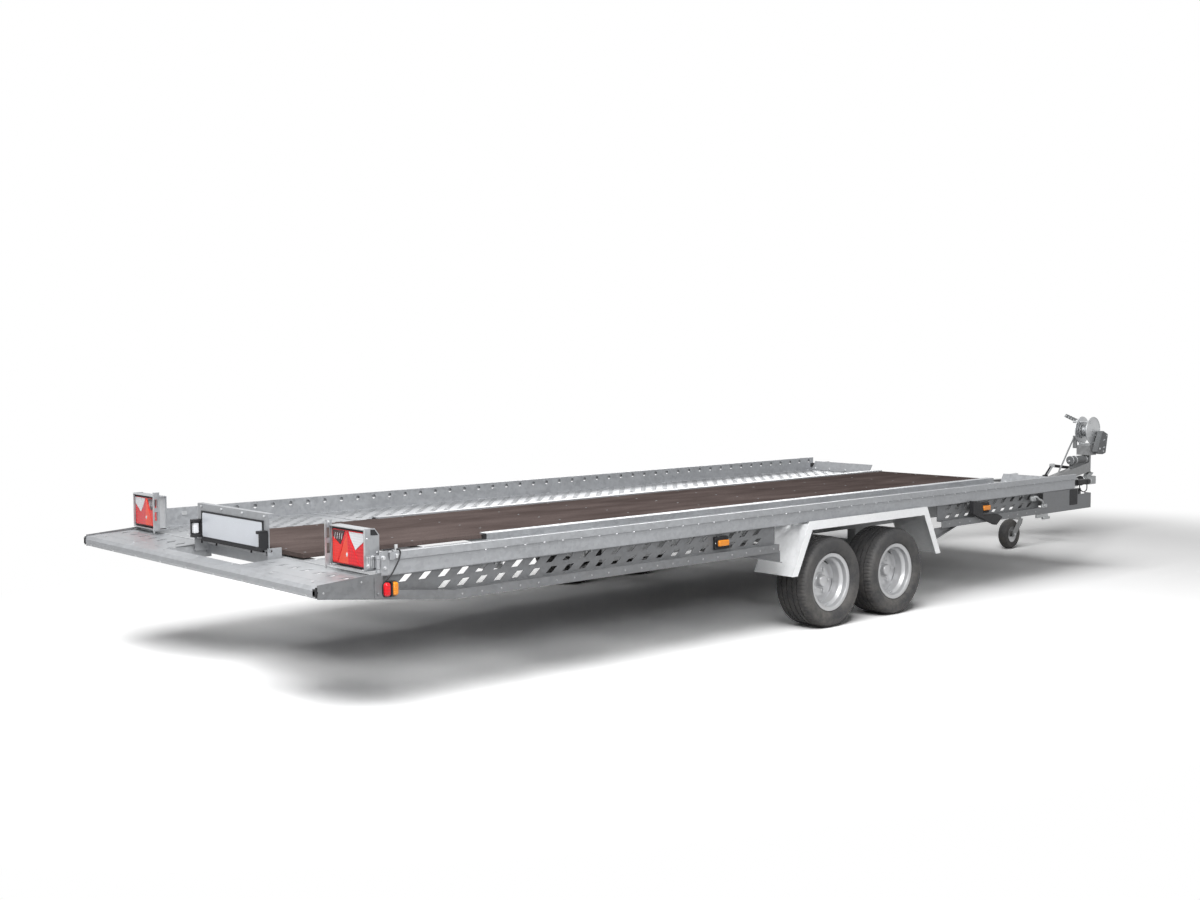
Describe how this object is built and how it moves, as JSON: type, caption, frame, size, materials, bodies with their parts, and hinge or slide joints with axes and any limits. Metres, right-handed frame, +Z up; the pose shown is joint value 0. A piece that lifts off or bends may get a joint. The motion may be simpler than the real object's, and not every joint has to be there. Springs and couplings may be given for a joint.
{
  "type": "tandem axle car transporter trailer",
  "caption": "Low tandem-axle car trailer: galvanised bed with perforated runways, plywood centre, side rails with lashing holes, V drawbar, winch stand and jockey wheel.",
  "frame": {"origin": "on the ground under the middle of the overall length and width", "axes": "+X forward to the coupling, +Y to the trailer's left, +Z up"},
  "size_m": [7.27, 2.07, 0.888],
  "materials": {
    "black_plastic": "matte",
    "black_rubber": "matte",
    "cast_metal": "satin",
    "galvanised_sheet": "satin",
    "galvanised_steel": "satin",
    "grey_plastic": "satin",
    "mudguard_steel": "satin",
    "orange_lens": "gloss",
    "plywood": "satin",
    "red_lens": "gloss",
    "rim_steel": "satin",
    "tyre_rubber": "matte",
    "tyre_rubber_small": "matte",
    "white_plate": "satin",
    "zinc_bright": "satin"
  },
  "bodies": {
    "trailer": {"side_rail_left": "galvanised_sheet", "side_rail_right": "galvanised_sheet", "side_web_rear_left": "galvanised_sheet", "side_web_rear_right": "galvanised_sheet", "side_web_front_left": "galvanised_sheet", "side_web_front_right": "galvanised_sheet", "runway_left": "galvanised_sheet", "runway_right": "galvanised_sheet", "rear_lip": "galvanised_sheet", "stop_plates": "galvanised_sheet", "lamp_posts": "galvanised_sheet", "carrier_feet": "galvanised_sheet", "deck_edges": "galvanised_sheet", "chassis_beam_left": "galvanised_steel", "chassis_beam_right": "galvanised_steel", "front_beam": "galvanised_steel", "floor_ribs": "galvanised_steel", "ply_rails": "galvanised_steel", "drawbar_left": "galvanised_steel", "drawbar_right": "galvanised_steel", "drawbar_bridge": "galvanised_steel", "axle_front": "galvanised_steel", "axle_rear": "galvanised_steel", "winch_post": "galvanised_steel", "jockey_tube": "galvanised_steel", "mudguard_left": "mudguard_steel", "mudguard_right": "mudguard_steel", "deck_panels": "plywood", "overrun_housing": "cast_metal", "coupling_head": "cast_metal", "overrun_bellows": "black_rubber", "lamp_leads": "black_rubber", "handbrake_lever": "black_plastic", "position_lamps": "black_plastic", "wheel_chock": "black_plastic", "winch_frame": "zinc_bright", "winch_cover": "grey_plastic", "brake_cylinder": "grey_plastic", "rear_markers": "red_lens", "side_markers": "orange_lens"},
    "wheel_front_left": {"tyre_front_left": "tyre_rubber", "rim_front_left": "rim_steel"},
    "wheel_front_right": {"tyre_front_right": "tyre_rubber", "rim_front_right": "rim_steel"},
    "wheel_rear_left": {"tyre_rear_left": "tyre_rubber", "rim_rear_left": "rim_steel"},
    "wheel_rear_right": {"tyre_rear_right": "tyre_rubber", "rim_rear_right": "rim_steel"},
    "leg": {"jockey_leg": "galvanised_steel"},
    "fork": {"jockey_fork": "galvanised_steel"},
    "castor": {"jockey_wheel": "tyre_rubber_small"},
    "lamp_left": {"lamp_housing_left": "galvanised_sheet", "lamp_lens_left": "red_lens"},
    "lamp_right": {"lamp_housing_right": "galvanised_sheet", "lamp_lens_right": "red_lens"},
    "plate": {"plate_carrier": "galvanised_sheet", "licence_plate": "white_plate", "plate_lamps": "black_plastic"},
    "drum": {"winch_drum": "zinc_bright"},
    "crank": {"winch_crank": "zinc_bright"}
  },
  "joints": [
    {"name": "roll_front_left", "type": "hinge", "parent": "trailer", "child": "wheel_front_left", "pos_m": [-0.214, 0.9325, 0.2245], "axis": [0, 1, 0], "continuous": true},
    {"name": "roll_front_right", "type": "hinge", "parent": "trailer", "child": "wheel_front_right", "pos_m": [-0.214, -0.9325, 0.2245], "axis": [0, 1, 0], "continuous": true},
    {"name": "roll_rear_left", "type": "hinge", "parent": "trailer", "child": "wheel_rear_left", "pos_m": [-0.735, 0.9325, 0.2245], "axis": [0, 1, 0], "continuous": true},
    {"name": "roll_rear_right", "type": "hinge", "parent": "trailer", "child": "wheel_rear_right", "pos_m": [-0.735, -0.9325, 0.2245], "axis": [0, 1, 0], "continuous": true},
    {"name": "leg_slide", "type": "slide", "parent": "trailer", "child": "leg", "axis": [0, 0, 1], "range_m": [-0.1, 0.06]},
    {"name": "castor_swivel", "type": "hinge", "parent": "leg", "child": "fork", "pos_m": [2.505, -0.05, 0.208], "axis": [0, 0, 1], "continuous": true},
    {"name": "castor_roll", "type": "hinge", "parent": "fork", "child": "castor", "pos_m": [2.414, -0.05, 0.102], "axis": [0, 1, 0], "continuous": true},
    {"name": "lamp_swing_left", "type": "hinge", "parent": "trailer", "child": "lamp_left", "pos_m": [-3.366, 1.004, 0.579], "axis": [0, 0, -1], "range_deg": [0, 95]},
    {"name": "lamp_swing_right", "type": "hinge", "parent": "trailer", "child": "lamp_right", "pos_m": [-3.366, -1.004, 0.579], "axis": [0, 0, 1], "range_deg": [0, 95]},
    {"name": "plate_fold", "type": "hinge", "parent": "trailer", "child": "plate", "pos_m": [-3.417, 0, 0.563], "axis": [0, 1, 0], "range_deg": [0, 75]},
    {"name": "drum_turn", "type": "hinge", "parent": "trailer", "child": "drum", "pos_m": [3.507, 0, 0.772], "axis": [0, 1, 0], "continuous": true},
    {"name": "crank_turn", "type": "hinge", "parent": "trailer", "child": "crank", "pos_m": [3.468, 0, 0.834], "axis": [0, 1, 0], "continuous": true}
  ],
  "couplings": [
    {"joint": "crank_turn", "follows": "drum_turn", "ratio": -3.8}
  ]
}
